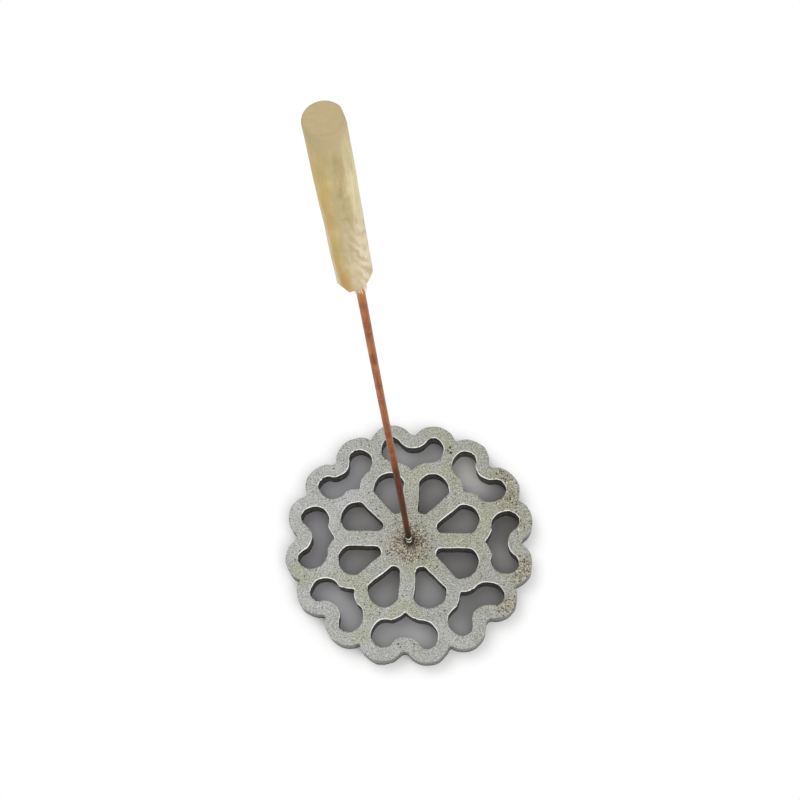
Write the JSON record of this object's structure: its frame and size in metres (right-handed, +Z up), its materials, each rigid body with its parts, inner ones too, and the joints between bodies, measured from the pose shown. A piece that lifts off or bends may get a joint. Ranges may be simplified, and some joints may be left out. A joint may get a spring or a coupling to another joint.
{
  "type": "rosette iron",
  "caption": "Rosette iron for window cookies: a flat pierced flower mould of cast aluminium on a long copper-coated wire rod with a short wooden handle.",
  "frame": {"origin": "middle of the mould's flat underside, which rests on the table", "axes": "+Z up along the rod to the handle; +X and +Y each through the middle of a scalloped window"},
  "size_m": [0.1178, 0.1178, 0.35],
  "materials": {
    "cast_aluminium": "sand-cast, dull",
    "copper_coated_wire": "drawn, copper-coated",
    "pale_wood": "bare, whittled"
  },
  "bodies": {
    "mould": {"mould": "cast_aluminium"},
    "rod_and_handle": {"rod": "copper_coated_wire", "handle": "pale_wood"}
  },
  "joints": [
    {"name": "rod_unscrews", "type": "slide", "parent": "mould", "child": "rod_and_handle", "axis": [0, 0, 1], "range_m": [0, 0.012]}
  ]
}
